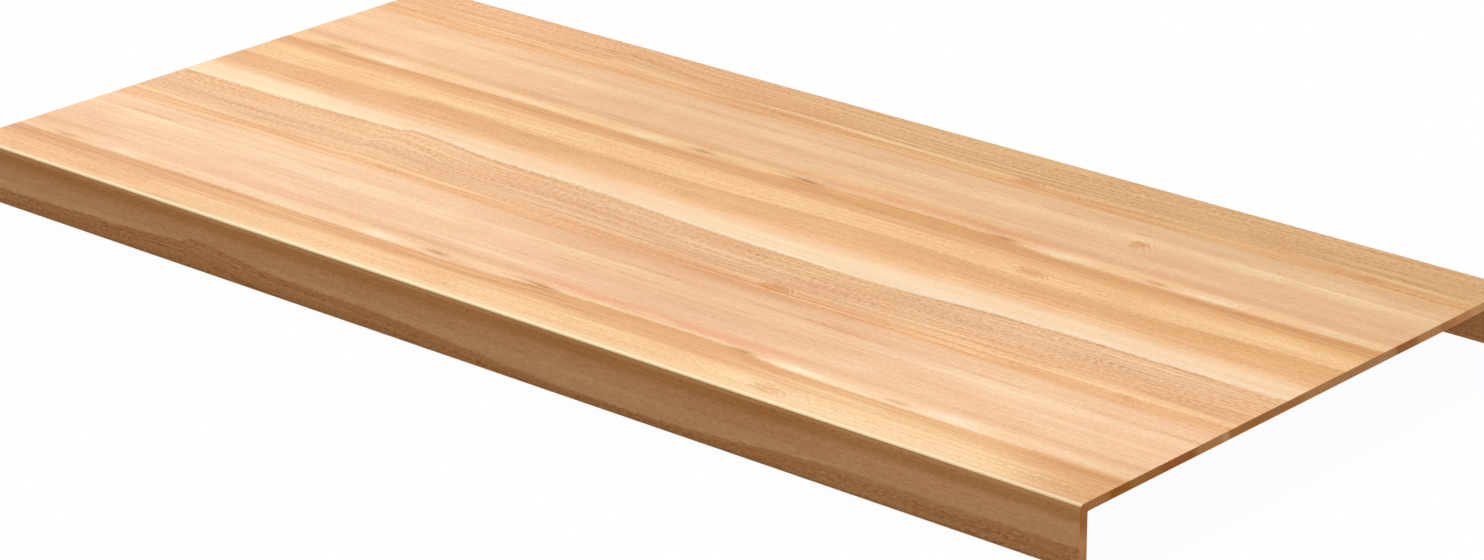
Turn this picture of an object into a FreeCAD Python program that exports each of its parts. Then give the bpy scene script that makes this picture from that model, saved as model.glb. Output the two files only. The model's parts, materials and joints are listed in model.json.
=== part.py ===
"""Stair tread: one wooden board with a front and a rear apron and a rounded nosing along both edges.

Frame: the origin is the middle of the rectangle on the floor that the two aprons stand on.
+X runs along the tread, +Y from the front apron to the rear apron, and +Z up to the walking surface.
All sizes are millimetres.
"""

import FreeCAD, Part
import math
import os
import Sketcher

DOCUMENT = "StairTread"
SHEET = "Sizes"
OUT_FOLDER = "parts"

# The driving dimensions: alias, value in millimetres, what it is.
SIZES = [
    ("tread_length", 1300, "length along the step, between the two sawn ends"),
    ("tread_depth", 610, "depth, from the face of the front apron to the face of the rear apron"),
    ("overall_height", 56, "walking surface above the lower edges of the aprons"),
    ("board_thickness", 8, "thickness of the board that is stepped on"),
    ("front_apron_thickness", 10, "thickness of the apron that hangs from the front edge"),
    ("rear_apron_thickness", 10, "thickness of the apron that hangs from the rear edge"),
    ("nosing_radius", 5, "rounding between the walking surface and the face of each apron"),
    ("inner_corner_radius", 1, "rounding in the corner under the board, where it meets an apron"),
    ("arris_radius", 0.8, "easing of the lower edges of the aprons"),
]


def fill_sheet(doc):
    """The spreadsheet of driving dimensions, one row each: name, value, meaning."""
    sheet = doc.addObject("Spreadsheet::Sheet", SHEET)
    for row, (alias, value, meaning) in enumerate(SIZES, start=1):
        sheet.set(f"A{row}", alias)
        sheet.set(f"B{row}", str(value))
        sheet.set(f"C{row}", meaning)
        sheet.setAlias(f"B{row}", alias)
    doc.recompute()
    return sheet


def origin_plane(body, role):
    """The body's own origin plane of that role."""
    return next(item for item in body.Origin.OriginFeatures if item.Role == role)


def section_corners(sheet):
    """The sharp corners of the section, front foot first and then anticlockwise, seen with +Y to the right.

    Each is (y, z, alias of its radius, +1 where the outline turns left or -1 where it turns right).
    """
    front, rear = -sheet.tread_depth / 2, sheet.tread_depth / 2
    front_inner = front + sheet.front_apron_thickness
    rear_inner = rear - sheet.rear_apron_thickness
    top = sheet.overall_height
    underside = top - sheet.board_thickness
    return [
        (front, 0, "arris_radius", 1),
        (front_inner, 0, "arris_radius", 1),
        (front_inner, underside, "inner_corner_radius", -1),
        (rear_inner, underside, "inner_corner_radius", -1),
        (rear_inner, 0, "arris_radius", 1),
        (rear, 0, "arris_radius", 1),
        (rear, top, "nosing_radius", 1),
        (front, top, "nosing_radius", 1),
    ]


def rounded_outline(corners, sheet):
    """Start geometry for a closed outline: one line from each corner to the next, and one arc in each corner."""
    lines, arcs = [], []
    count = len(corners)
    for index, (y, z, radius_alias, turn) in enumerate(corners):
        radius = getattr(sheet, radius_alias)
        here = FreeCAD.Vector(y, z, 0)
        before = FreeCAD.Vector(*corners[index - 1][:2], 0)
        after = FreeCAD.Vector(*corners[(index + 1) % count][:2], 0)
        inward = (here - before).normalize()
        outward = (after - here).normalize()
        centre = here - inward * radius + outward * radius
        from_point, to_point = here - inward * radius, here + outward * radius
        # An arc always runs anticlockwise, so at a right turn its start lies on the outgoing line.
        start, end = (from_point, to_point) if turn > 0 else (to_point, from_point)
        circle = Part.Circle(centre, FreeCAD.Vector(0, 0, 1), radius)
        angles = [math.atan2(point.y - centre.y, point.x - centre.x) for point in (start, end)]
        arcs.append(Part.ArcOfCircle(circle, *angles))
        following = getattr(sheet, corners[(index + 1) % count][2])
        lines.append(Part.LineSegment(to_point, after - outward * following))
    return lines, arcs


def draw_section(body, sheet):
    """The fully constrained cross-section of the tread, on the plane across its length."""
    sketch = body.newObject("Sketcher::SketchObject", "Section")
    sketch.AttachmentSupport = (origin_plane(body, "YZ_Plane"), [""])
    sketch.MapMode = "FlatFace"

    corners = section_corners(sheet)
    lines, arcs = rounded_outline(corners, sheet)
    line_ids = list(sketch.addGeometry(lines, False))
    arc_ids = list(sketch.addGeometry(arcs, False))
    foot_front, inner_front, underside, inner_rear, foot_rear, face_rear, top, face_front = line_ids

    START, END = 1, 2
    ORIGIN_POINT, Y_AXIS = (-1, 1), -1
    for line in (foot_front, underside, foot_rear, top):
        sketch.addConstraint(Sketcher.Constraint("Horizontal", line))
    for line in (inner_front, inner_rear, face_rear, face_front):
        sketch.addConstraint(Sketcher.Constraint("Vertical", line))
    for index, (_, _, _, turn) in enumerate(corners):
        arc, incoming, outgoing = arc_ids[index], line_ids[index - 1], line_ids[index]
        arc_in, arc_out = (START, END) if turn > 0 else (END, START)
        sketch.addConstraint(Sketcher.Constraint("Tangent", incoming, END, arc, arc_in))
        sketch.addConstraint(Sketcher.Constraint("Tangent", arc, arc_out, outgoing, START))
    for foot in (foot_front, foot_rear):
        sketch.addConstraint(Sketcher.Constraint("PointOnObject", foot, START, Y_AXIS))

    def bind(name, kind, geometry, expression):
        """A named dimension of the section that takes its value from the sheet."""
        index = sketch.addConstraint(Sketcher.Constraint(kind, *geometry))
        sketch.renameConstraint(index, name)
        sketch.setExpression(f"Constraints.{name}", expression)

    depth, height = sheet.tread_depth, sheet.overall_height
    bind("front_reach", "DistanceX", (face_front, START, *ORIGIN_POINT, depth / 2), f"{SHEET}.tread_depth / 2")
    bind("rear_reach", "DistanceX", (*ORIGIN_POINT, face_rear, START, depth / 2), f"{SHEET}.tread_depth / 2")
    bind("height", "DistanceY", (*ORIGIN_POINT, top, START, height), f"{SHEET}.overall_height")
    bind(
        "board", "DistanceY", (underside, START, top, START, sheet.board_thickness), f"{SHEET}.board_thickness"
    )
    bind(
        "front_apron",
        "DistanceX",
        (face_front, START, inner_front, START, sheet.front_apron_thickness),
        f"{SHEET}.front_apron_thickness",
    )
    bind(
        "rear_apron",
        "DistanceX",
        (inner_rear, START, face_rear, START, sheet.rear_apron_thickness),
        f"{SHEET}.rear_apron_thickness",
    )
    for index, (_, _, radius_alias, _) in enumerate(corners):
        bind(
            f"corner_{index}", "Radius", (arc_ids[index], getattr(sheet, radius_alias)), f"{SHEET}.{radius_alias}"
        )
    return sketch


def make_tread(doc, sheet):
    """The tread as one solid: its section, drawn out along the whole length and sawn square at both ends."""
    body = doc.addObject("PartDesign::Body", "Tread")
    body.Label = "tread"
    section = draw_section(body, sheet)
    board = body.newObject("PartDesign::Pad", "Board")
    board.Profile = section
    board.SideType = "Symmetric"
    board.setExpression("Length", f"{SHEET}.tread_length")
    section.Visibility = False
    doc.recompute()
    return body


def check_document(doc, bodies):
    """Stop with a plain message where a feature failed or a body has no valid solid."""
    for item in doc.Objects:
        if "Invalid" in item.State or "Error" in item.State:
            raise RuntimeError(f"{item.Label} did not recompute: {item.State}")
    for body in bodies:
        shape = body.Shape
        if shape.isNull() or not shape.isValid() or len(shape.Solids) != 1:
            raise RuntimeError(f"{body.Label} is not one valid solid")
    for sketch in doc.findObjects("Sketcher::SketchObject"):
        if sketch.solve() != 0 or not sketch.FullyConstrained:
            raise RuntimeError(f"{sketch.Label} is not fully constrained")


def main():
    doc = FreeCAD.newDocument(DOCUMENT)
    sheet = fill_sheet(doc)
    bodies = [make_tread(doc, sheet)]
    doc.recompute()
    check_document(doc, bodies)

    os.makedirs(OUT_FOLDER, exist_ok=True)
    for body in bodies:
        body.Shape.exportStep(f"{OUT_FOLDER}/{body.Label}.step")
        box = body.Shape.BoundBox
        litres = body.Shape.Volume / 1e6
        print(f"{body.Label}: {box.XLength:.1f} x {box.YLength:.1f} x {box.ZLength:.1f} mm, {litres:.3f} litres")


main()
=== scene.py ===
"""A wooden stair tread on a pale floor: a thin lacquered board with an apron along both of its long edges.

Lengths are in metres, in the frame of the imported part: the origin is on the floor under the middle of the
tread, +X runs along it, +Y from the front apron to the rear one and +Z up. Inside the wood's material they
are millimetres.
"""

import json
import math

import bpy
from mathutils import Matrix, Vector


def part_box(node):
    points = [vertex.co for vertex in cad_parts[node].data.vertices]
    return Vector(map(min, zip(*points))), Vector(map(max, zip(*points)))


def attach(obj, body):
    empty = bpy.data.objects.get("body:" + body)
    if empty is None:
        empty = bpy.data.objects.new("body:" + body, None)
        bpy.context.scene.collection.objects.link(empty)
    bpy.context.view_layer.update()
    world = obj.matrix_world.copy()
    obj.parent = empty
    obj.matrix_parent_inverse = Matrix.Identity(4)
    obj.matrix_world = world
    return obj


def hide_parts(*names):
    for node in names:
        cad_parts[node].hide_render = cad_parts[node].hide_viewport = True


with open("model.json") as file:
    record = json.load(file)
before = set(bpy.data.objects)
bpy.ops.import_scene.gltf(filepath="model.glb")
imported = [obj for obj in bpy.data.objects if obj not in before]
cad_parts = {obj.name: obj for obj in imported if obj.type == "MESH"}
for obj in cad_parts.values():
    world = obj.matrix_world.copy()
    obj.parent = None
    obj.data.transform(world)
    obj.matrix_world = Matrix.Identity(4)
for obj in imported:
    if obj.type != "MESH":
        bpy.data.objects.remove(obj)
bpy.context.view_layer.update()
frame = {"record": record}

NODE = "tread"
MM = 0.001

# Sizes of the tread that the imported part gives.
LOWEST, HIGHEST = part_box(NODE)
LENGTH = HIGHEST.x - LOWEST.x
DEPTH = HIGHEST.y - LOWEST.y
HEIGHT = HIGHEST.z - LOWEST.z
MOUNTS = {mount["name"]: Vector(mount["pos_m"]) for mount in frame["record"]["mounts"]}
UNDERSIDE = MOUNTS["underside"].z
FRONT_APRON = MOUNTS["front_apron_back"].y - LOWEST.y
REAR_APRON = HIGHEST.y - MOUNTS["rear_apron_back"].y

# Roundings, as in the part's source, and the easing of the two sawn ends.
NOSING_RADIUS = 5 * MM
INNER_RADIUS = 1 * MM
ARRIS_RADIUS = 0.8 * MM
SAWN_EASING = 0.35 * MM

# The figure of the wood comes back after this many millimetres across the grain.
REPEAT = 347
# Where the figure starts on the front apron: it skips ahead while it turns over the nosing.
FRONT_APRON_START = REPEAT + 302


# The mesh


def corner_points(corner, radius, start_degrees, turn_degrees, steps):
    """Points round one corner of the section, each with its outward normal: (y, z, normal y, normal z).

    A positive turn is a convex corner, and a negative one is a hollow corner.
    """
    hollow = turn_degrees < 0
    middle = math.radians(start_degrees + turn_degrees / 2)
    reach = radius * math.sqrt(2)
    side = 1 if hollow else -1
    centre = (corner[0] + side * reach * math.cos(middle), corner[1] + side * reach * math.sin(middle))
    points = []
    for step in range(steps + 1):
        angle = math.radians(start_degrees + turn_degrees * step / steps)
        normal = (math.cos(angle), math.sin(angle))
        out = -radius if hollow else radius
        points.append((centre[0] + out * normal[0], centre[1] + out * normal[1], *normal))
    return points


NOSING_STEPS = 14
SMALL_STEPS = 3


def section(inset):
    """The closed outline of the tread, drawn in by inset, as eight named corners with their points.

    It runs up the rear face, forward over the top, down the front face and back along the underside.
    """
    rear, front = HIGHEST.y - inset, LOWEST.y + inset
    rear_inner = HIGHEST.y - REAR_APRON + inset
    front_inner = LOWEST.y + FRONT_APRON - inset
    top, foot, under = HEIGHT - inset, inset, UNDERSIDE + inset
    nosing, arris, inner = NOSING_RADIUS - inset, ARRIS_RADIUS - inset, INNER_RADIUS + inset
    return [
        corner_points((rear, foot), arris, -90, 90, SMALL_STEPS),
        corner_points((rear, top), nosing, 0, 90, NOSING_STEPS),
        corner_points((front, top), nosing, 90, 90, NOSING_STEPS),
        corner_points((front, foot), arris, 180, 90, SMALL_STEPS),
        corner_points((front_inner, foot), arris, 270, 90, SMALL_STEPS),
        corner_points((front_inner, under), inner, 360, -90, SMALL_STEPS),
        corner_points((rear_inner, under), inner, 270, -90, SMALL_STEPS),
        corner_points((rear_inner, foot), arris, 180, 90, SMALL_STEPS),
    ]


# The figure on faces that hardly show: its millimetres over the foot of an apron, over the foot's inner
# arris and over the inner corner, and the millimetre where it starts under the board.
FOOT_SPAN = 10
INNER_ARRIS_SPAN = 1
INNER_CORNER_SPAN = 2
UNDER_START = 1000

# Millimetres of the figure where the outline turns, and along its stretches.
TOP_END = DEPTH / MM - NOSING_RADIUS / MM
APRON_DROP = (HEIGHT - NOSING_RADIUS - ARRIS_RADIUS) / MM
INNER_DROP = (UNDERSIDE - INNER_RADIUS - ARRIS_RADIUS) / MM
CLEAR_DEPTH = (DEPTH - FRONT_APRON - REAR_APRON - 2 * INNER_RADIUS) / MM
NOSING_ARC = NOSING_RADIUS / MM * math.pi / 2
REAR_START = NOSING_RADIUS / MM - NOSING_ARC - APRON_DROP
FRONT_END = FRONT_APRON_START + APRON_DROP
SMALL_ARC = ARRIS_RADIUS / MM * math.pi / 2
UNDER_END = UNDER_START + CLEAR_DEPTH

# Each stretch of the outline in that order: its island in the texture map, the rows that it takes there,
# and the millimetre of the figure at its start and at its end. Corners and flat stretches take turns.
STRETCHES = [
    ("outside", 2, REAR_START - SMALL_ARC, REAR_START),
    ("outside", 50, REAR_START, REAR_START + APRON_DROP),
    ("outside", 9, REAR_START + APRON_DROP, NOSING_RADIUS / MM),
    ("outside", 620, NOSING_RADIUS / MM, TOP_END),
    ("outside", 16, TOP_END, FRONT_APRON_START),
    ("outside", 84, FRONT_APRON_START, FRONT_END),
    ("outside", 2, FRONT_END, FRONT_END + SMALL_ARC),
    ("front_inside", 5, FRONT_END + SMALL_ARC, FRONT_END + FOOT_SPAN),
    ("front_inside", 2, FRONT_END + FOOT_SPAN, FRONT_END + FOOT_SPAN + INNER_ARRIS_SPAN),
    ("front_inside", 30, UNDER_START - INNER_CORNER_SPAN - INNER_DROP, UNDER_START - INNER_CORNER_SPAN),
    ("front_inside", 2, UNDER_START - INNER_CORNER_SPAN, UNDER_START),
    ("underside", 76, UNDER_START, UNDER_END),
    ("rear_inside", 2, UNDER_END, UNDER_END + INNER_CORNER_SPAN),
    ("rear_inside", 30, UNDER_END + INNER_CORNER_SPAN, UNDER_END + INNER_CORNER_SPAN + INNER_DROP),
    ("rear_inside", 2, REAR_START - FOOT_SPAN - INNER_ARRIS_SPAN, REAR_START - FOOT_SPAN),
    ("rear_inside", 5, REAR_START - FOOT_SPAN, REAR_START - SMALL_ARC),
]

# The texture map: its side, the gaps round its islands, the columns for one step of an eased end and the
# rows for a sawn end.
MAP_SIZE = 1024
MAP_GAP = 5
EASING_COLUMNS = 1.5
END_ROWS = 48

EASING_STEPS = 3
# The two materials, by their place in the mesh.
LONG_GRAIN, END_GRAIN = 0, 1


def end_rings():
    """Rings of the outline from the left end to the right one: (x, inset, outward lean of the normal)."""
    half = LENGTH / 2
    rings = []
    for step in range(EASING_STEPS + 1):
        angle = math.pi / 2 * step / EASING_STEPS
        x = half - SAWN_EASING * (1 - math.sin(angle))
        rings.append((x, SAWN_EASING * (1 - math.cos(angle)), angle))
    left = [(-x, inset, -angle) for x, inset, angle in reversed(rings)]
    return left + rings


def ring_columns():
    """The column of the texture map for each ring: narrow ones for the eased ends, the rest between them."""
    easing = [MAP_GAP + EASING_COLUMNS * step for step in range(EASING_STEPS + 1)]
    return easing + [MAP_SIZE - column for column in reversed(easing)]


def outline_rows():
    """Rows of the texture map and millimetres of the figure, at both sides of each step round the outline.

    The first row below them all, which is free for the sawn ends, comes with them.
    """
    corner_steps = [len(corner) - 1 for corner in section(0)]
    rows, row, island = [], MAP_GAP, STRETCHES[0][0]
    for number, (name, size, begin, end) in enumerate(STRETCHES):
        if name != island:
            row, island = row + MAP_GAP, name
        count = corner_steps[number // 2] if number % 2 == 0 else 1
        for step in range(count):
            low, high = step / count, (step + 1) / count
            span = end - begin
            rows.append((row + size * low, row + size * high, begin + span * low, begin + span * high))
        row += size
    return rows, row + MAP_GAP


def ring_points(rings):
    """The points of all rings, one ring after another, and their outward normals."""
    points, normals = [], []
    for x, inset, lean in rings:
        flat = math.cos(lean)
        for y, z, normal_y, normal_z in [point for corner in section(inset) for point in corner]:
            points.append((x, y, z))
            normals.append((math.sin(lean), flat * normal_y, flat * normal_z))
    return points, normals


class Skin:
    """Faces of a mesh, with the place of each of their corners in the texture map and on the grain."""

    def __init__(self):
        self.faces = []
        self.slots = []
        self.bake_places = []
        self.grain_places = []

    def add(self, face, slot, bake_places, grain_places):
        """Adds one face, given as the numbers of its points."""
        self.faces.append(face)
        self.slots.append(slot)
        self.bake_places += bake_places
        self.grain_places += grain_places


def add_long_faces(skin, rings, around, rows):
    """Adds the faces between the rings, which have around points each."""
    columns = ring_columns()
    for ring in range(len(rings) - 1):
        near, far = ring * around, (ring + 1) * around
        left, right = columns[ring], columns[ring + 1]
        start, stop = rings[ring][0] + LENGTH / 2, rings[ring + 1][0] + LENGTH / 2
        for step in range(around):
            after = (step + 1) % around
            low, high, begin, end = rows[step]
            face = (near + step, near + after, far + after, far + step)
            bake_places = [(left, low), (left, high), (right, high), (right, low)]
            grain_places = [(start, begin), (start, end), (stop, end), (stop, begin)]
            skin.add(face, LONG_GRAIN, bake_places, grain_places)


def add_sawn_ends(skin, points, around, end_row):
    """Adds the left end and the right one, which lie side by side below the rest in the texture map."""
    shrink = (MAP_SIZE - 4 * MAP_GAP) / 2 / DEPTH
    for side, first in enumerate((0, len(points) - around)):
        loop = list(range(first, first + around))
        if side == 0:
            loop.reverse()
        shift = MAP_GAP + side * MAP_SIZE / 2
        ends = [(points[point][1], points[point][2]) for point in loop]
        bake_places = [(shift + (y - LOWEST.y) * shrink, end_row + z / HEIGHT * END_ROWS) for y, z in ends]
        grain_places = [(side * LENGTH, (HIGHEST.y - y) / MM) for y, _ in ends]
        skin.add(loop, END_GRAIN, bake_places, grain_places)


def make_tread_mesh():
    """The tread as one closed mesh with exact normals, a texture map and a map of its grain."""
    rings = end_rings()
    points, normals = ring_points(rings)
    around = len(points) // len(rings)
    rows, end_row = outline_rows()
    skin = Skin()
    add_long_faces(skin, rings, around, rows)
    add_sawn_ends(skin, points, around, end_row)

    mesh = bpy.data.meshes.new("tread_wood")
    mesh.from_pydata(points, [], skin.faces)
    for polygon, slot in zip(mesh.polygons, skin.slots):
        polygon.material_index = slot
        polygon.use_smooth = True
    bake_map = mesh.uv_layers.new(name="OFBake")
    grain_map = mesh.uv_layers.new(name="grain")
    for corner, (column, row) in enumerate(skin.bake_places):
        bake_map.uv[corner].vector = (column / MAP_SIZE, 1 - row / MAP_SIZE)
    for corner, (along, across) in enumerate(skin.grain_places):
        grain_map.uv[corner].vector = (along, across * MM)
    mesh.normals_split_custom_set_from_vertices(normals)
    mesh.validate()
    return mesh


# Arithmetic for the shader


class Value:
    """A number that varies over the wood: an output socket, with ordinary arithmetic on it."""

    def __init__(self, socket):
        self.socket = socket
        self.tree = socket.node.id_data

    def math(self, operation, *others):
        """What one operation makes of this value and the others."""
        node = self.tree.nodes.new("ShaderNodeMath")
        node.operation = operation
        for place, value in enumerate((self, *others)):
            plug(value, node.inputs[place])
        return Value(node.outputs[0])

    def __add__(self, other):
        return self.math("ADD", other)

    def __sub__(self, other):
        return self.math("SUBTRACT", other)

    def __mul__(self, other):
        return self.math("MULTIPLY", other)

    def __truediv__(self, other):
        return self.math("DIVIDE", other)

    def __rsub__(self, other):
        return (self * -1).math("ADD", other)

    __radd__ = __add__
    __rmul__ = __mul__

    def rise(self, low, high):
        """0 before low, 1 past high and a smooth step between them. Low may be the larger of the two."""
        node = self.tree.nodes.new("ShaderNodeMapRange")
        node.interpolation_type = "SMOOTHSTEP"
        plug(self, node.inputs["Value"])
        node.inputs["From Min"].default_value = low
        node.inputs["From Max"].default_value = high
        return Value(node.outputs["Result"])

    def within(self, zone):
        """1 inside a zone, which is (begins, is full, fades, is gone), and 0 outside it.

        A zone that begins at a higher place than it ends is all that lies outside the stretch between them.
        """
        begins, full, fades, gone = zone
        entered, staying = self.rise(begins, full), 1 - self.rise(fades, gone)
        return entered + staying if begins > gone else entered * staying

    def hump(self, centre, half_width):
        """1 at centre, falling off on both sides as a bell curve does."""
        away = (self - centre) / half_width
        return (away * away * -1).math("EXPONENT")

    def follow(self, points, span):
        """A smooth curve through (place, height) points: places from 0 to span and heights from -1 to 1."""
        node = self.tree.nodes.new("ShaderNodeFloatCurve")
        curve = node.mapping.curves[0]
        for _ in range(len(points) - 2):
            curve.points.new(0.5, 0.5)
        for point, (place, height) in zip(curve.points, points):
            point.location = (place / span, 0.5 + height / 2)
        node.mapping.update()
        plug(self / span, node.inputs["Value"])
        return Value(node.outputs["Value"]) * 2 - 1


def plug(value, socket):
    """Connects a value to a socket, or writes a plain number or colour there."""
    if isinstance(value, Value):
        value.tree.links.new(value.socket, socket)
    else:
        socket.default_value = value


def noise(along, across, kind):
    """Soft noise, mostly from -1 to 1, at those places.

    Its kind is (step along, step across, seed, detail, roughness). A larger step makes it finer that way.
    """
    along_step, across_step, seed, detail, roughness = kind
    tree = along.tree
    place = tree.nodes.new("ShaderNodeCombineXYZ")
    plug(along * along_step, place.inputs["X"])
    plug(across * across_step, place.inputs["Y"])
    place.inputs["Z"].default_value = seed
    node = tree.nodes.new("ShaderNodeTexNoise")
    node.inputs["Scale"].default_value = 1
    node.inputs["Detail"].default_value = detail
    node.inputs["Roughness"].default_value = roughness
    tree.links.new(place.outputs[0], node.inputs["Vector"])
    return Value(node.outputs["Fac"]) * 4 - 2


def ramp(value, stops, span):
    """A colour for each place: stops are (place, colour), and places go from 0 to span."""
    node = value.tree.nodes.new("ShaderNodeValToRGB")
    elements = node.color_ramp.elements
    for _ in range(len(stops) - 2):
        elements.new(0.5)
    for element, (place, colour) in zip(elements, stops):
        element.position = place / span
        element.color = colour
    plug(value / span, node.inputs["Fac"])
    return Value(node.outputs["Color"])


def blend(share, below, above, kind="MIX"):
    """The colour above laid over the colour below by that share."""
    tree = (share if isinstance(share, Value) else below).tree
    node = tree.nodes.new("ShaderNodeMix")
    node.data_type = "RGBA"
    node.blend_type = kind
    node.clamp_factor = True
    sockets = {socket.identifier: socket for socket in node.inputs}
    plug(share, sockets["Factor_Float"])
    plug(below, sockets["A_Color"])
    plug(above, sockets["B_Color"])
    return Value(next(socket for socket in node.outputs if socket.identifier == "Result_Color"))


def scale(colour, share):
    """The colour made lighter or darker by a share that varies."""
    node = colour.tree.nodes.new("ShaderNodeVectorMath")
    node.operation = "SCALE"
    plug(colour, node.inputs["Vector"])
    plug(share, node.inputs["Scale"])
    return Value(node.outputs["Vector"])


# How strongly the fine lines change red, green and blue.
LINE_STRENGTHS = (0.55, 1.0, 1.45)
LACQUER_SPECULAR = 0.2


def shaded(colour, share):
    """The colour, darker and browner where the share is below zero and paler where it is above."""
    node = colour.tree.nodes.new("ShaderNodeCombineXYZ")
    for channel, strength in zip("XYZ", LINE_STRENGTHS):
        plug(share * strength + 1, node.inputs[channel])
    product = colour.tree.nodes.new("ShaderNodeVectorMath")
    product.operation = "MULTIPLY"
    plug(colour, product.inputs[0])
    plug(Value(node.outputs[0]), product.inputs[1])
    return Value(product.outputs["Vector"])


def new_material(name):
    """An empty node material with its shader, the satin lacquer that all the wood has."""
    material = bpy.data.materials.new(name)
    material.use_nodes = True
    shader = material.node_tree.nodes["Principled BSDF"]
    shader.inputs["Specular IOR Level"].default_value = LACQUER_SPECULAR
    return material, material.node_tree, shader


# Colours of the wood

# Light in the studio, measured as a share of what a level white card returns: it turns a colour as it should
# look into the wood's own colour.
GLOSS_ON_TOP = 0.1
GLOSS_ON_SIDES = 0.02
TOP_LIGHT = (0.965, 0.94, 0.925)
SIDE_LIGHT = (0.54, 0.42, 0.31)
END_LIGHT = (0.485, 0.39, 0.295)
PALEST_WOOD = 0.95


def screen_to_light(part):
    """One part of a colour, written as 0 to 255 as a screen shows it, turned into light."""
    share = part / 255
    return share / 12.92 if share <= 0.04045 else ((share + 0.055) / 1.055) ** 2.4


def seen(red, green, blue, light=TOP_LIGHT, gloss=GLOSS_ON_TOP):
    """The wood's own colour where it should look like this, as a screen shows it, in that light."""
    parts = zip((red, green, blue), light)
    wood = [min(max((screen_to_light(part) - gloss) / lit, 0), PALEST_WOOD) for part, lit in parts]
    return (*wood, 1)


def seen_on_side(red, green, blue):
    """The wood's own colour where an upright face should look like this."""
    return seen(red, green, blue, SIDE_LIGHT, GLOSS_ON_SIDES)


def seen_on_end(red, green, blue):
    """The wood's own colour where a sawn end should look like this."""
    return seen(red, green, blue, END_LIGHT, GLOSS_ON_SIDES)


TAN = seen(240, 193, 151)
GREY_TAN = seen(237, 189, 149)
OCHRE = seen(243, 193, 148)
PALE_TAN = seen(247, 202, 158)
PEACH = seen(249, 207, 169)
DULL_PEACH = seen(247, 203, 165)
CREAM = seen(253, 215, 176)
PALE_CREAM = seen(255, 226, 192)
PALEST_CREAM = seen(255, 234, 200)
YELLOW_PEACH = seen(250, 205, 158)
BROWN = seen(229, 176, 130)
TAWNY = seen(238, 187, 141)
WARM_BROWN = seen(232, 183, 136)
# Painted highlight on the top's front edge and on the nosing.
EDGE_PAINTED_HIGHLIGHT = seen(252, 219, 176)
SPECKLE_EDGE = seen(235, 187, 143)
NOSING_PAINTED_HIGHLIGHT = (0.95, 0.76, 0.44, 1)
ROSY_TAN = seen(241, 194, 155)
STREAK = seen(250, 208, 166)
ROSE = seen(240, 176, 140)
KNOT_BROWN = seen(213, 152, 104)
DASH_BROWN = seen(186, 130, 72)
LINE_BROWN = seen(212, 160, 118)
# The wood is here and there a little rosier, or yellower: share of each colour kept.
ROSY_TINT = (1.0, 0.95, 0.95, 1)
YELLOW_TINT = (1.0, 1.03, 0.97, 1)
# Painted shade round the place where the nosing turns brown: share of each colour kept. More light reaches it
# there than on the apron, and without this painted shade the turn would look blurred.
NOSING_PAINTED_SHADE = (0.76, 0.68, 0.55, 1)

# The apron's colours, darker and browner than the top's, hold painted shade for the upright faces.
SIDE_UPPER = seen_on_side(142, 95, 56)
SIDE_PLAIN = seen_on_side(153, 109, 72)
SIDE_PALE = seen_on_side(165, 122, 84)
SIDE_GREY = seen_on_side(157, 114, 78)
SIDE_LOWER = seen_on_side(146, 101, 63)
SIDE_EDGE = seen_on_side(164, 116, 78)
SIDE_TOP = seen_on_side(158, 112, 73)
# The underside and the aprons' inner faces.
INSIDE_WOOD = (0.70, 0.42, 0.20, 1)

# The figure of the wood. Places along the grain are millimetres from the left end. Places across it are
# millimetres from the rear edge, which run on down the front apron, or millimetres of the repeating figure.
# A zone is (begins, is full, fades, is gone), and a pair is where something begins and where it is full.

# One repeat of the figure on the top, across the grain: millimetre, colour.
TOP_FIGURE = [
    (0, TAN), (44, GREY_TAN), (55, TAN), (59.5, PALE_TAN), (63.5, OCHRE), (79, OCHRE),
    (86, DULL_PEACH), (100, PEACH), (109, DULL_PEACH), (113, CREAM), (121, CREAM), (136, DULL_PEACH),
    (168, PEACH), (175, ROSY_TAN), (182, ROSY_TAN), (187, PEACH), (192, STREAK),
    (201.5, STREAK), (205, BROWN), (212, BROWN), (221, TAWNY), (231, YELLOW_PEACH), (258.5, YELLOW_PEACH),
    (266, WARM_BROWN), (274, WARM_BROWN), (292, TAWNY), (304, PALE_TAN), (313, CREAM), (325, CREAM),
    (334.5, PALE_CREAM), (339, SPECKLE_EDGE), (344.5, TAN),
]

# The same millimetres on the apron, browner and darker than on the top: painted shade for the upright faces.
SIDE_FIGURE = [
    (0, SIDE_LOWER), (6, SIDE_EDGE), (150, SIDE_LOWER), (250, SIDE_PLAIN), (296, SIDE_TOP), (298, SIDE_TOP),
    (303, SIDE_UPPER), (309, SIDE_UPPER), (315, SIDE_PLAIN), (328, SIDE_GREY), (346, SIDE_LOWER),
]

# How far three of the figure's boundaries stray across the grain: at most, the zone of the figure that strays
# with each, and how far it does so by millimetre from the left end.
STRAY = 16
GROWTH_ZONE = (302, 333, 8, 95)
GROWTH_STRAY = [
    (0, 4.5), (100, 4), (166, 2.5), (220, 0.5), (249, -1.5), (285, -3), (294, -4.5), (298, -11.5), (330, -9),
    (362, -5), (390, -1.5), (420, 0.5), (531, 1.5), (605, 4.5), (705, 10.5), (790, 12.5), (870, 12),
    (953, 8), (1036, 3), (1100, 1.5), (1300, 1),
]
BAND_ZONE = (236, 262, 266, 298)
BAND_STRAY = [
    (0, 1), (150, 0), (220, -3), (270, -8), (310, -8), (350, -6), (420, -1), (480, 0), (600, 0), (700, -4),
    (800, -8), (870, -6), (1000, -2), (1120, -2), (1200, -6), (1300, -8),
]
STREAK_ZONE = (180, 192, 202, 222)
STREAK_STRAY = [
    (0, 1), (100, 1), (300, 0), (500, 0), (600, -1), (650, -5), (680, -8), (740, -9.5), (830, -10), (890, -9),
    (925, -4), (980, -1), (1150, -1), (1300, -3),
]
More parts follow.
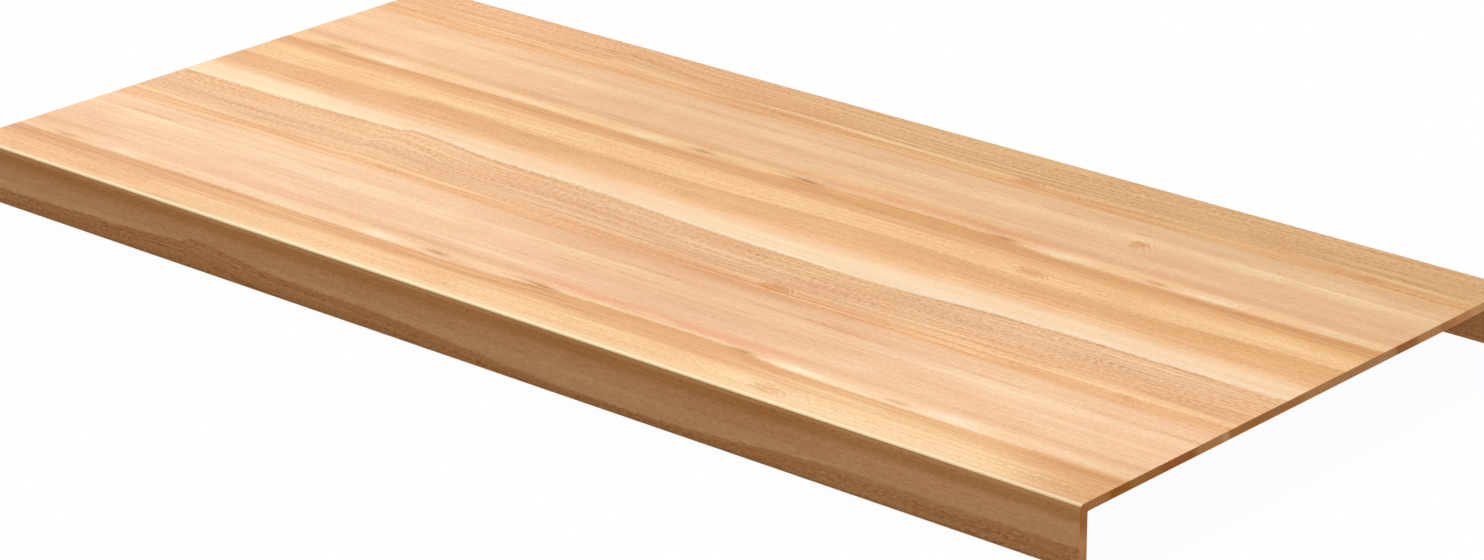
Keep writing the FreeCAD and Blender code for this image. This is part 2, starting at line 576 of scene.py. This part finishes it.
# Where the pale streak swells: millimetre from the left end, millimetre of the figure, half length, half
# width, strength.
SWELLINGS = [
    (136, 197, 26, 5, 0.8),
    (325, 196, 50, 4.5, 0.55),
    (478, 196, 26, 5.5, 0.9),
    (962, 195, 25, 5, 0.95),
    (1122, 194, 28, 5.5, 0.95),
    (1260, 194, 60, 4.5, 0.4),
]
# Short dark dashes, told in the same way.
DASHES = [
    (62, 198.5, 15, 3.4, 0.5),
    (543, 194.5, 15, 4, 0.48),
    (585, 201, 40, 3, 0.25),
    (659, 192, 26, 3, 0.25),
    (672, 193.8, 18, 2.1, 0.95),
    (547, 195.5, 13, 1.8, 0.45),
    (900, 194, 12, 1.8, 0.45),
    (668, 200.5, 26, 2.2, 0.5),
    (700, 208, 30, 1.8, 0.3),
    (735, 214, 34, 1.6, 0.22),
    (897, 193, 15, 4, 0.45),
    (1065, 196, 13, 3, 0.5),
    (262, 254.5, 13, 2, 0.22),
    (325, 254.5, 18, 2, 0.22),
]
# The rear part of the top is more ochre, and darker towards the right as painted shade: share of each colour
# kept, and where that ends, in millimetres from the rear edge.
REAR_OCHRE = (1.0, 0.965, 0.875, 1)
REAR_OCHRE_ENDS = (180, 340)
REAR_PAINTED_SHADE = (0.83, 0.81, 0.76, 1)
REAR_PAINTED_SHADE_ENDS = (130, 320)
REAR_PAINTED_SHADE_ALONG = [(0, -0.1), (180, 0.05), (300, 0.45), (450, 0.75), (700, 0.85), (1075, 0.95), (1300, 1)]
# Broad soft patches: millimetre from the left end, millimetre from the rear edge, half length, half width,
# share of each colour kept.
PATCHES = [
    (770, 455, 260, 55, (0.91, 0.84, 0.78, 1)),
    (750, 432, 150, 8, (0.95, 0.92, 0.87, 1)),
    (760, 504, 190, 13, (0.95, 0.92, 0.91, 1)),
    (760, 375, 260, 60, (0.95, 0.95, 0.94, 1)),
    (1130, 362, 200, 22, (0.98, 0.985, 0.99, 1)),
    (1080, 394, 190, 16, (1.03, 1.04, 1.04, 1)),
    (1090, 462, 190, 14, (1.02, 1.03, 1.08, 1)),
    (950, 116, 380, 12, (1.04, 1.07, 1.12, 1)),
    (40, 590, 330, 45, (0.94, 0.88, 0.82, 1)),
    (1290, 580, 85, 42, (0.90, 0.84, 0.78, 1)),
    (1305, 594, 75, 22, (0.88, 0.80, 0.72, 1)),
    (90, 370, 330, 45, (1.04, 1.07, 1.06, 1)),
    (1085, 588, 190, 30, (1.06, 1.18, 1.34, 1)),
    (1075, 557, 160, 14, (1.07, 1.13, 1.22, 1)),
    (780, 332, 190, 11, (1.04, 1.13, 1.20, 1)),
    (60, 322, 210, 16, (1.03, 1.08, 1.12, 1)),
    (310, 482, 130, 36, (1.0, 1.02, 1.07, 1)),
    (30, 520, 80, 24, (0.97, 0.93, 0.88, 1)),
    (140, 274, 230, 18, (1.02, 0.98, 1.0, 1)),
    (180, 195, 170, 10, (1.02, 1.05, 1.09, 1)),
    (650, 549, 700, 8, (1.02, 1.03, 1.06, 1)),
    (750, 72, 150, 18, (0.98, 0.96, 0.94, 1)),
    (750, 201, 170, 9, (1.06, 1.06, 1.02, 1)),
    (1120, 145, 240, 75, (1.03, 1.04, 1.11, 1)),
    (740, 30, 170, 55, (0.99, 1.04, 1.0, 1)),
    (1130, 35, 280, 75, (0.97, 1.02, 1.0, 1)),
    (760, 172, 130, 14, (1.05, 1.06, 1.05, 1)),
    (450, 193, 200, 10, (1.05, 1.06, 1.05, 1)),
    (1080, 190, 190, 14, (1.05, 1.05, 1.06, 1)),
    (1090, 335, 220, 48, (1.0, 1.035, 1.10, 1)),
    (1080, 538, 190, 22, (1.03, 1.06, 1.10, 1)),
]
# Where a patch fades, as the square of the share of its half sizes.
PATCH_FADES = (0.15, 1.6)
# Small knots: millimetre from the left end and from the rear edge, half length, half width, strength.
KNOTS = [
    (824, 66, 17, 7.5, 0.75),
    (824, 414, 18, 8, 0.85),
    (996, 130, 10, 9, 0.75),
    (966, 244, 17, 7.5, 0.65),
    (966, 590, 18, 7.5, 0.5),
    (613, 290, 14, 7, 0.3),
    (1198, 68, 12, 6, 0.35),
    (1198, 417, 12, 6, 0.35),
    (356, 417, 16, 7, 0.25),
    (345, 70, 16, 7, 0.2),
    (206, 70, 12, 5, 0.2),
]


# The ragged edge of a knot, and the short slanted ticks across its right end.
KNOT_RAGGED = 1.1
KNOT_EDGE = (1.5, -0.2)
TICK_SLANT = 0.9
TICK_REACH = 0.9
TICK_RADIANS_PER_MM = 0.9
TICK_RAGGED = 2.6
TICK_DARK = (0.1, 0.9)
TICK_PALE = (-0.4, -1)
TICK_PALE_STRENGTH = 0.35

# Kinds of noise: steps per millimetre along and across, seed, detail, roughness.
WANDER = (0.006, 0.02, 11, 3, 0.5)
RIPPLE = (0.04, 0.07, 17, 3, 0.5)
FUZZ = (0.16, 0.3, 51, 2, 0.6)
UNEVEN = (0.022, 0.12, 63, 3, 0.6)
GROWTH = (0.0022, 0.12, 3, 2, 0.6)
FIBRES = (0.0045, 0.45, 7, 2, 0.6)
PORES = (0.19, 0.42, 21, 2, 0.7)
PATCHY = (0.012, 0.05, 57, 2, 0.5)
CLOUD = (0.011, 0.035, 31, 3, 0.55)
STREAKS = (0.016, 0.24, 83, 2, 0.6)
BROKEN = (0.014, 0.01, 43, 2, 0.5)
ROSINESS = (0.005, 0.07, 71, 2, 0.55)
RAGGED = (0.12, 0.3, 67, 2, 0.6)
STROKES = (0.06, 0.6, 73, 2, 0.65)

# Millimetres by which the figure wanders, ripples and frays, and by which its marks ripple.
WANDER_REACH = 0.9
RIPPLE_REACH = 0.6
FUZZ_REACH = 1.1
MARKS_RIPPLE_REACH = 0.8

# The rosy stretch above the pale streak: where it lies along the length, how uneven it is, how strong it is
# in the rear repeat of the figure and how much more so in the front one. Each of its stripes is a millimetre
# of the figure, half width and strength.
ROSY_ALONG = (600, 700, 880, 975)
ROSY_UNEVEN = (-0.9, 0.5)
ROSY_REAR, ROSY_MORE = 0.75, 0.25
ROSY_MORE_FROM = (250, 400)
ROSY_STRIPES = [(185, 11, 0.85), (181, 3.5, 0.7)]

# Zones of the figure that differ in their fine lines.
SPECKLED = (332, 338, 66, 90)
GRAINY = (332, 338, 18, 52)
LINED = (44, 50, 80, 87)
STRIPED = (200, 206, 224, 236)
BANDED = (224, 238, 294, 304)
SMOOTH = (300, 310, 328, 336)
# The stripes are weaker towards the right, and grainy wood is grainy only in patches.
STRIPES_LOSS, STRIPES_LOSS_FROM = 0.5, (580, 760)
PATCHY_EDGE = (-0.7, 0.6)
# How strong each kind of line is: everywhere, and what each zone adds to that.
LINE_AMOUNTS = {
    "growth": (0.07, {"striped": 0.06, "lined": 0.06}),
    "cloud": (0.08, {"speckled": -0.04}),
    "rings": (0.06, {"speckled": 0.14, "striped": 0.12, "lined": 0.08}),
    "fibres": (0.1, {"speckled": 0.12, "striped": 0.18, "banded": 0.07}),
    "streaks": (0.14, {"speckled": -0.1}),
    "pores": (0.12, {"speckled": 0.09, "grainy": 0.2, "banded": 0.09}),
}
# Growth rings are dark where the growth noise is about nought, and pores are stronger in them. The means are
# taken off, so that rings and streaks leave the wood about as light as it was.
RING_HALF_WIDTH = 0.3
RINGS_MEAN = 0.45
STREAKS_EDGE = (0.1, 1.2)
STREAKS_MEAN = 0.1
PORES_BETWEEN_RINGS, PORES_MORE_IN_RINGS = 0.6, 0.8
SMOOTH_LOSS = 0.35

# Thin lines that come and go: millimetre of the figure, half width, strength. Pale ones never go altogether.
DARK_LINES = [(107, 1.4, 0.55), (338.5, 1.2, 0.8), (204.5, 1.5, 0.25)]
PALE_LINES = [(57.5, 1.8, 1), (48, 1.5, 0.8)]
BROKEN_EDGE = (-0.1, 0.7)
PALE_LINES_LEAST, PALE_LINES_MORE = 0.35, 0.65
PALE_LINES_STRENGTH = 0.3

# Where the rosiness, or its opposite, gives the whole of its tint.
TINT_EDGE = 1.2

# Painted highlight: the top's front edge turns creamy and the nosing pale, more or less so along the length.
EDGE_FROM = (594, 605)
EDGE_STRENGTH = 0.1
EDGE_MORE, EDGE_MORE_FROM = 0.7, (180, 420)
EDGE_LESS, EDGE_LESS_FROM = 0.45, (1140, 1290)
NOSING_FROM = (605, 618)
NOSING_LESS, NOSING_LESS_FROM = 0.4, (1060, 1260)

# The figure skips ahead in the nosing, where the pale edge of the top gives way to the brown of the apron.
NOSING_TURNS = 629
# What lies outside the top: the apron from there on, and the rear apron before the rear nosing.
UPRIGHT = (NOSING_TURNS - 1.5, NOSING_TURNS + 1.5, -6, 0)
# The apron: its start darkened by painted shade, its pale strip and what cuts the strip off below, its paler
# right part with a paler lower corner, its foot lightened by painted light and the inner faces after it.
NOSING_SHADE_ZONE = (600, 610, NOSING_TURNS, NOSING_TURNS + 15)
PALE_STRIP = (325, 331.5)
BELOW_STRIP = (331.5, 334, 60, 100)
PALE_RIGHT, PALE_RIGHT_FROM = 0.25, (980, 1100)
PALE_CORNER, PALE_CORNER_FROM, PALE_CORNER_BELOW = 0.55, (950, 1110), (657, 665)
# The foot is lightened with painted light, against the shade that lies near the floor.
FOOT = (684, 694, 702, 712)
FOOT_PAINTED_LIGHT = 0.1
INSIDE_FROM = (720, 900)
SIDE_STROKES = 0.13
SIDE_PORES = 0.11

# Roughness of the lacquer: everywhere, its change with the fine lines, and how much smoother the nosing is.
ROUGHNESS = 0.5
LINES_ROUGHNESS = 0.15
NOSING_SMOOTHER = 0.06
NOSING_SHINE = (603, 610, 632, 645)
GRAIN_RELIEF = 0.06 * MM


# The wood


class Grain:
    """Where the wood's points lie, along, across and in the figure, and the pores that all faces share."""

    def __init__(self, tree):
        self.along, self.across = grain_places(tree)
        wander = noise(self.along, self.across, WANDER) * WANDER_REACH
        ripple = noise(self.along, self.across, RIPPLE)
        fuzz = noise(self.along, self.across, FUZZ) * FUZZ_REACH
        self.strayed = self.across - stray(self.along, self.across) + wander + ripple * RIPPLE_REACH
        self.place = in_figure(self.strayed + fuzz)
        self.unstrayed = in_figure(self.across + ripple * MARKS_RIPPLE_REACH)
        self.pores = noise(self.along, self.across, PORES)


def grain_places(tree):
    """Millimetres along the length and across the grain, read from the mesh's map of its grain."""
    grain = tree.nodes.new("ShaderNodeUVMap")
    grain.uv_map = "grain"
    parts = tree.nodes.new("ShaderNodeSeparateXYZ")
    tree.links.new(grain.outputs["UV"], parts.inputs["Vector"])
    return Value(parts.outputs["X"]) / MM, Value(parts.outputs["Y"]) / MM


def in_figure(across):
    """The millimetre of the figure at a place across the grain."""
    return (across + REPEAT).math("MODULO", REPEAT)


def stray(along, across):
    """How far the figure has strayed there, each boundary's wave fading out on both sides of it."""
    place = in_figure(across)
    waves = [(GROWTH_STRAY, GROWTH_ZONE), (BAND_STRAY, BAND_ZONE), (STREAK_STRAY, STREAK_ZONE)]
    total = 0
    for points, zone in waves:
        wave = along.follow([(at, off / STRAY) for at, off in points], LENGTH / MM) * STRAY
        total = wave * place.within(zone) + total
    return total


def bands(grain):
    """The figure's bands on the top, and the rosy stretch above the pale streak."""
    uneven = noise(grain.along, grain.across, UNEVEN).rise(*ROSY_UNEVEN)
    rosy = grain.along.within(ROSY_ALONG) * uneven
    rosy = rosy * (ROSY_REAR + ROSY_MORE * grain.across.rise(*ROSY_MORE_FROM))
    colour = ramp(grain.place, TOP_FIGURE, REPEAT)
    for line, half_width, strength in ROSY_STRIPES:
        colour = blend(rosy * grain.place.hump(line, half_width) * strength, colour, ROSE)
    return colour


def with_marks(colour, grain):
    """The colour with the pale streak's swellings and the dark dashes."""
    marks = [(mark, PALEST_CREAM) for mark in SWELLINGS] + [(mark, DASH_BROWN) for mark in DASHES]
    for (at, line, half_length, half_width, strength), tint in marks:
        right, down = (grain.along - at) / half_length, (grain.unstrayed - line) / half_width
        near = ((right * right + down * down) * -1).math("EXPONENT")
        colour = blend(near * strength, colour, tint)
    return colour


def line_zones(grain):
    """The zones that differ in their fine lines, by name."""
    along, place = grain.along, grain.place
    patchy = noise(along, grain.across, PATCHY).rise(*PATCHY_EDGE)
    return {
        "speckled": place.within(SPECKLED),
        "grainy": place.within(GRAINY) * patchy,
        "lined": place.within(LINED),
        "striped": place.within(STRIPED) * (1 - STRIPES_LOSS * along.rise(*STRIPES_LOSS_FROM)),
        "banded": place.within(BANDED),
        "smooth": place.within(SMOOTH),
    }


def fine_lines(grain):
    """Growth lines, fibres, streaks and short pores together: below zero where they darken the wood."""
    along, across, strayed = grain.along, grain.across, grain.strayed
    zones = line_zones(grain)

    def amount(kind):
        total, added = LINE_AMOUNTS[kind]
        for zone, more in added.items():
            total = zones[zone] * more + total
        return total

    growth = noise(along, strayed, GROWTH)
    rings = growth.hump(0, RING_HALF_WIDTH)
    streaks = noise(along, strayed, STREAKS).rise(*STREAKS_EDGE)
    lines = growth * amount("growth") + noise(along, across, CLOUD) * amount("cloud")
    lines = lines - (rings - RINGS_MEAN) * amount("rings")
    lines = lines + noise(along, strayed, FIBRES) * amount("fibres")
    lines = lines - (streaks - STREAKS_MEAN) * amount("streaks")
    pores = grain.pores * amount("pores") * (PORES_BETWEEN_RINGS + PORES_MORE_IN_RINGS * rings)
    return (lines + pores) * (1 - SMOOTH_LOSS * zones["smooth"])


def with_thin_lines(colour, grain):
    """The colour with thin lines that come and go: dark ones under three bands' edges, and two pale ones."""
    broken = noise(grain.along, grain.across, BROKEN).rise(*BROKEN_EDGE)
    dark, pale = [
        sum(grain.place.hump(line, half_width) * strength for line, half_width, strength in lines)
        for lines in (DARK_LINES, PALE_LINES)
    ]
    colour = blend(broken * dark, colour, LINE_BROWN)
    shown = PALE_LINES_LEAST + broken * PALE_LINES_MORE
    return blend(shown * pale * PALE_LINES_STRENGTH, colour, PALE_CREAM)


def with_tone(colour, grain):
    """The colour with tints and patches from place to place, and painted shade towards the rear right."""
    along, across = grain.along, grain.across
    rosiness = noise(along, grain.strayed, ROSINESS)
    colour = blend(rosiness.rise(0, TINT_EDGE), colour, ROSY_TINT, "MULTIPLY")
    colour = blend(rosiness.rise(0, -TINT_EDGE), colour, YELLOW_TINT, "MULTIPLY")
    colour = blend(1 - across.rise(*REAR_OCHRE_ENDS), colour, REAR_OCHRE, "MULTIPLY")
    # Painted shade: the rear of the top darker towards the right.
    shade = along.follow(REAR_PAINTED_SHADE_ALONG, LENGTH / MM) * (1 - across.rise(*REAR_PAINTED_SHADE_ENDS))
    colour = blend(shade, colour, REAR_PAINTED_SHADE, "MULTIPLY")
    for at, depth, half_length, half_width, kept in PATCHES:
        right, down = (along - at) / half_length, (across - depth) / half_width
        near = 1 - (right * right + down * down).rise(*PATCH_FADES)
        colour = blend(near, colour, kept, "MULTIPLY")
    return colour


def with_painted_edge_highlight(colour, grain):
    """The colour with painted highlight: the creamy front edge of the top and the pale nosing."""
    along, across = grain.along, grain.across
    more, less = along.rise(*EDGE_MORE_FROM), along.rise(*EDGE_LESS_FROM)
    edge = across.rise(*EDGE_FROM) * (EDGE_STRENGTH + EDGE_MORE * more - EDGE_LESS * less)
    colour = blend(edge, colour, EDGE_PAINTED_HIGHLIGHT)
    nosing = across.rise(*NOSING_FROM) * (1 - NOSING_LESS * along.rise(*NOSING_LESS_FROM))
    return blend(nosing, colour, NOSING_PAINTED_HIGHLIGHT)


def with_knot(colour, grain, ragged, knot):
    """The colour with one small ragged brown knot, and the short slanted ticks across its right end."""
    at, depth, half_length, half_width, strength = knot
    right, down = grain.along - at, grain.across - depth
    along_share, across_share = right / half_length, down / half_width
    share = along_share * along_share + across_share * across_share
    body = (share + ragged * KNOT_RAGGED).rise(*KNOT_EDGE)
    colour = blend(body * strength, colour, KNOT_BROWN)
    tick_place = right - half_length
    slanted = tick_place - down * TICK_SLANT
    reach = half_width * TICK_REACH
    near = (tick_place * tick_place + down * down) / (reach * reach * -1)
    wave = (slanted * TICK_RADIANS_PER_MM + ragged * TICK_RAGGED).math("SINE")
    tick = near.math("EXPONENT") * strength
    colour = blend(wave.rise(*TICK_DARK) * tick, colour, LINE_BROWN)
    return blend(wave.rise(*TICK_PALE) * tick * TICK_PALE_STRENGTH, colour, PALE_CREAM)


def top_colour(grain, lines):
    """The top: bands, marks, thin lines, tone and painted shade, the painted edge highlight and the knots."""
    colour = with_thin_lines(with_marks(bands(grain), grain), grain)
    colour = shaded(with_tone(colour, grain), lines)
    colour = with_painted_edge_highlight(colour, grain)
    ragged = noise(grain.along, grain.across, RAGGED)
    for knot in KNOTS:
        colour = with_knot(colour, grain, ragged, knot)
    return colour


def side_colour(grain, lines):
    """The upright faces, with a pale strip that a straying boundary of the figure cuts off below."""
    along, across = grain.along, grain.across
    # The upright faces' colours hold painted shade, darker and browner than the top's.
    colour = ramp(grain.unstrayed, SIDE_FIGURE, REPEAT)
    colour = blend(grain.unstrayed.rise(*PALE_STRIP), colour, SIDE_PALE)
    corner = along.rise(*PALE_CORNER_FROM) * across.rise(*PALE_CORNER_BELOW)
    colour = blend(corner * PALE_CORNER, colour, SIDE_PALE)
    colour = blend(grain.place.within(BELOW_STRIP), colour, SIDE_LOWER)
    colour = blend(along.rise(*PALE_RIGHT_FROM) * PALE_RIGHT, colour, SIDE_PALE)
    # Painted shade where the nosing turns down into the apron.
    colour = blend(across.within(NOSING_SHADE_ZONE), colour, NOSING_PAINTED_SHADE, "MULTIPLY")
    colour = blend(across.rise(*INSIDE_FROM), colour, INSIDE_WOOD)
    strokes = noise(along, across, STROKES)
    colour = shaded(colour, lines + strokes * SIDE_STROKES + grain.pores * SIDE_PORES)
    # Painted light on the apron's foot, against the shade near the floor.
    return scale(colour, 1 + across.within(FOOT) * FOOT_PAINTED_LIGHT)


def raise_relief(tree, shader, height, depth):
    """Gives the shader a fine relief: height is about -1 to 1, and depth is in metres."""
    bump = tree.nodes.new("ShaderNodeBump")
    bump.inputs["Strength"].default_value = 1.0
    bump.inputs["Distance"].default_value = depth
    plug(height, bump.inputs["Height"])
    tree.links.new(bump.outputs["Normal"], shader.inputs["Normal"])


def lacquered_long_grain():
    """The wood along its grain: bands, growth lines, pores and knots under a satin lacquer."""
    material, tree, shader = new_material("lacquered_long_grain")
    grain = Grain(tree)
    lines = fine_lines(grain)
    upright = grain.across.within(UPRIGHT)
    colour = blend(upright, top_colour(grain, lines), side_colour(grain, lines))
    plug(colour, shader.inputs["Base Color"])
    smoother = grain.across.within(NOSING_SHINE) * NOSING_SMOOTHER
    plug(ROUGHNESS - lines * LINES_ROUGHNESS - smoother, shader.inputs["Roughness"])
    raise_relief(tree, shader, lines, GRAIN_RELIEF)
    return material


# The right end, from the front edge to the rear one: millimetre, and the colour that a screen should show.
# The left end has the same.
END_FIGURE = [
    (0, (144, 92, 55)), (10, (147, 97, 58)), (16, (152, 102, 63)),
    (34, (150, 100, 62)), (41, (134, 82, 40)), (60, (136, 85, 43)),
    (68, (143, 95, 53)), (100, (143, 95, 53)), (108, (134, 82, 47)),
    (145, (137, 85, 49)), (154, (157, 110, 68)), (182, (158, 112, 70)),
    (187, (173, 131, 93)), (191, (171, 128, 90)), (194, (150, 100, 58)),
    (230, (142, 95, 55)), (292, (151, 101, 61)), (304, (159, 113, 72)),
    (395, (158, 112, 74)), (409, (160, 118, 80)), (425, (158, 112, 72)),
    (429, (138, 86, 53)), (456, (143, 91, 56)), (464, (168, 117, 73)),
    (490, (166, 115, 72)), (497, (150, 99, 60)), (512, (163, 111, 67)),
    (534, (170, 118, 74)), (542, (176, 129, 86)), (600, (174, 126, 84)),
]
# The patches lean towards the front: millimetres for each one of height above the middle of the board.
END_MIDDLE = 52
END_LEAN = 0.25
END_WANDER = (0.12, 0.08, 5, 2, 0.5)
END_WANDER_REACH = 1.5
END_STROKES = (0.55, 0.16, 9, 3, 0.6)
END_STROKES_AMOUNT = 0.1
END_SPECKS = (1.1, 1.1, 13, 2, 0.6)
END_SPECKS_AMOUNT = 0.05
END_ROUGHNESS = 0.6
END_LINES_ROUGHNESS = 0.5
END_RELIEF = 0.3 * MM
# The lower part of the front apron's end is paler: where that stops, from the front edge and from the feet.
FOOT_PALE = seen_on_end(182, 129, 86)
FOOT_PALE_STRENGTH = 0.85
FOOT_PALE_DEPTH = (9, 11)
FOOT_PALE_HEIGHT = (20, 42)


def height_above_feet(tree):
    """Millimetres above the feet."""
    place = tree.nodes.new("ShaderNodeTexCoord")
    parts = tree.nodes.new("ShaderNodeSeparateXYZ")
    tree.links.new(place.outputs["Object"], parts.inputs["Vector"])
    return Value(parts.outputs["Z"]) / MM


def sawn_end_grain():
    """The sawn ends: browner wood in patches, with short upright strokes."""
    material, tree, shader = new_material("sawn_end_grain")
    _, across = grain_places(tree)
    height = height_above_feet(tree)
    from_front = DEPTH / MM - across
    leaning = from_front + (height - END_MIDDLE) * END_LEAN
    wander = noise(from_front, height, END_WANDER) * END_WANDER_REACH
    stops = [(place, seen_on_end(*colour)) for place, colour in END_FIGURE]
    colour = ramp(leaning + wander, stops, DEPTH / MM)
    foot = (1 - from_front.rise(*FOOT_PALE_DEPTH)) * (1 - height.rise(*FOOT_PALE_HEIGHT))
    colour = blend(foot * FOOT_PALE_STRENGTH, colour, FOOT_PALE)
    strokes, specks = noise(leaning, height, END_STROKES), noise(from_front, height, END_SPECKS)
    lines = strokes * END_STROKES_AMOUNT + specks * END_SPECKS_AMOUNT
    plug(shaded(colour, lines), shader.inputs["Base Color"])
    plug(END_ROUGHNESS - lines * END_LINES_ROUGHNESS, shader.inputs["Roughness"])
    raise_relief(tree, shader, lines, END_RELIEF)
    return material


def make_tread():
    """The tread's own mesh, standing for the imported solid."""
    tread = bpy.data.objects.new("tread_wood", make_tread_mesh())
    bpy.context.scene.collection.objects.link(tread)
    tread.data.materials.append(lacquered_long_grain())
    tread.data.materials.append(sawn_end_grain())
    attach(tread, "root")
    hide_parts(NODE)
    return tread


# The studio

FLOOR_RADIUS = 30
FLOOR_STEPS = 64
# The colour that the floor throws back on the wood, the one that it shows, and the share of plain white that
# is laid over that.
FLOOR_WARM = (0.70, 0.55, 0.45, 1)
FLOOR_PALE = (0.93, 0.93, 0.93, 1)
FLOOR_WHITE_SHARE = 0.97
KEY_STRENGTH = 3.41
KEY_COLOUR = (1, 1, 1)
KEY_SPREAD_DEGREES = 26
KEY_LEAN_DEGREES = 40.5
KEY_FROM_DEGREES = 67.5
FILL_STRENGTH = 0.8
FILL_COLOUR = (1, 0.8, 0.6)
FILL_SPREAD_DEGREES = 40
FILL_LEAN_DEGREES = 74
FILL_FROM_DEGREES = 221.5
AMBIENT = 0.09


def seen_rays(tree):
    """1 for camera, glossy and transmission rays, and 0 for the rays that carry diffuse light."""
    path = tree.nodes.new("ShaderNodeLightPath")
    camera = Value(path.outputs["Is Camera Ray"])
    glossy = Value(path.outputs["Is Glossy Ray"])
    clear = Value(path.outputs["Is Transmission Ray"])
    return camera.math("MAXIMUM", glossy).math("MAXIMUM", clear)


def floor_material():
    """A floor that shows white with a faint shadow, and throws warm light back on the wood."""
    material = bpy.data.materials.new("studio_floor")
    material.use_nodes = True
    tree = material.node_tree
    tree.nodes.clear()
    seen = seen_rays(tree)
    matt = tree.nodes.new("ShaderNodeBsdfDiffuse")
    plug(blend(seen, FLOOR_WARM, FLOOR_PALE), matt.inputs["Color"])
    white = tree.nodes.new("ShaderNodeEmission")
    mixed = tree.nodes.new("ShaderNodeMixShader")
    output = tree.nodes.new("ShaderNodeOutputMaterial")
    plug(seen * FLOOR_WHITE_SHARE, mixed.inputs[0])
    tree.links.new(matt.outputs[0], mixed.inputs[1])
    tree.links.new(white.outputs[0], mixed.inputs[2])
    tree.links.new(mixed.outputs[0], output.inputs["Surface"])
    return material


def make_floor():
    """A plain round floor, level with the feet of the aprons."""
    mesh = bpy.data.meshes.new("floor")
    angles = [math.tau * step / FLOOR_STEPS for step in range(FLOOR_STEPS)]
    rim = [(FLOOR_RADIUS * math.cos(angle), FLOOR_RADIUS * math.sin(angle), LOWEST.z) for angle in angles]
    mesh.from_pydata(rim, [], [tuple(range(FLOOR_STEPS))])
    mesh.materials.append(floor_material())
    floor = bpy.data.objects.new("floor", mesh)
    bpy.context.scene.collection.objects.link(floor)


def make_sun(name, strength, colour, spread_degrees, lean_degrees, from_degrees):
    """A soft lamp far away, that many degrees from the zenith and, turning to the left, from the rear."""
    lamp = bpy.data.lights.new(name, "SUN")
    lamp.energy = strength
    lamp.color = colour
    lamp.angle = math.radians(spread_degrees)
    lamp_object = bpy.data.objects.new(name, lamp)
    lean, source = math.radians(lean_degrees), math.radians(from_degrees)
    towards = Vector((-math.sin(lean) * math.sin(source), math.sin(lean) * math.cos(source), math.cos(lean)))
    lamp_object.rotation_euler = towards.to_track_quat("Z", "Y").to_euler()
    bpy.context.scene.collection.objects.link(lamp_object)


def make_lights():
    """A soft key from above left, a weak low fill from the front right, and a sky that shows white."""
    make_sun("key", KEY_STRENGTH, KEY_COLOUR, KEY_SPREAD_DEGREES, KEY_LEAN_DEGREES, KEY_FROM_DEGREES)
    make_sun("fill", FILL_STRENGTH, FILL_COLOUR, FILL_SPREAD_DEGREES, FILL_LEAN_DEGREES, FILL_FROM_DEGREES)
    world = bpy.data.worlds.new("studio")
    world.use_nodes = True
    bpy.context.scene.world = world
    tree = world.node_tree
    background = tree.nodes["Background"]
    background.inputs["Color"].default_value = (1, 1, 1, 1)
    seen = seen_rays(tree)
    plug(seen * (1 - AMBIENT) + AMBIENT, background.inputs["Strength"])


# The camera, which stands as it did for the photograph: angles in degrees, the aim and distance in metres.
VIEW_AZIMUTH = 41.474
VIEW_ELEVATION = 21.04
VIEW_ROLL = -0.29
VIEW_DISTANCE = 4.1048
VIEW_AIM = Vector((0.0375, 0.0024, -0.0039))
SENSOR_WIDTH_MM = 36
LENS_MM = 111.7


def make_camera():
    """The camera of the photograph."""
    azimuth, elevation = math.radians(VIEW_AZIMUTH), math.radians(VIEW_ELEVATION)
    level = math.cos(elevation)
    back = Vector((math.sin(azimuth) * level, -math.cos(azimuth) * level, math.sin(elevation)))
    right = Vector((0, 0, 1)).cross(back).normalized()
    up = back.cross(right)
    turned = Matrix((right, up, back)).transposed() @ Matrix.Rotation(math.radians(VIEW_ROLL), 3, "Z")
    data = bpy.data.cameras.new("camera")
    data.sensor_width = SENSOR_WIDTH_MM
    data.lens = LENS_MM
    camera = bpy.data.objects.new("camera", data)
    camera.matrix_world = Matrix.Translation(VIEW_AIM + VIEW_DISTANCE * back) @ turned.to_4x4()
    bpy.context.scene.collection.objects.link(camera)
    bpy.context.scene.camera = camera


make_camera()
make_floor()
make_lights()
make_tread()
bpy.context.scene.view_settings.view_transform = "Standard"
